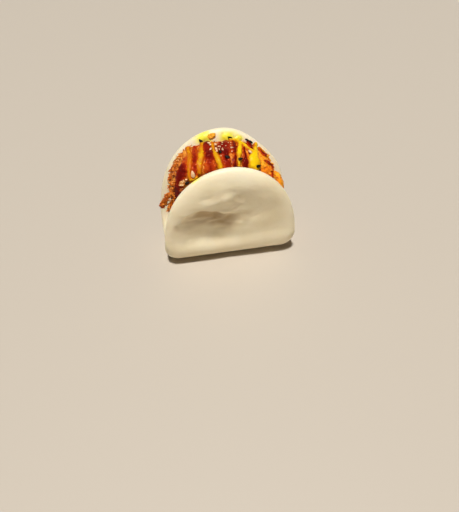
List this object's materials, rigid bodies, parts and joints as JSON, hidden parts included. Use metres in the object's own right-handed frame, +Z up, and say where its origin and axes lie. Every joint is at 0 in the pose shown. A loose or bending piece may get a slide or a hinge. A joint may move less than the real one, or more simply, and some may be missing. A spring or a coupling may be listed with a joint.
{
  "type": "gua bao",
  "caption": "Steamed bun folded round a breaded fried cutlet, topped with dark glaze, a zigzag of yellow sauce and sesame seeds, standing upright on its fold.",
  "frame": {"origin": "on the flat spot under the fold, at the bottom middle of the whole object's box", "axes": "+X along the fold, to the right as the lower flap is seen from the front; the lower front flap faces -Y; +Z up, out of the open side of the bun"},
  "size_m": [0.0938, 0.0536, 0.0841],
  "materials": {
    "dough": "soft steamed wheat dough, creamy white, smooth skin with a faint sheen",
    "crust": "fried breadcrumb crust, orange brown, craggy and slightly oily",
    "dark_sauce": "sticky dark red-brown glaze, wet and glossy",
    "yellow_sauce": "thick yellow drizzle, smooth with a soft gloss",
    "black_seed": "black sesame seed, satin",
    "white_seed": "hulled white sesame seed, satin"
  },
  "bodies": {
    "root": {"bun": "dough", "cutlet": "crust"}
  },
  "joints": []
}
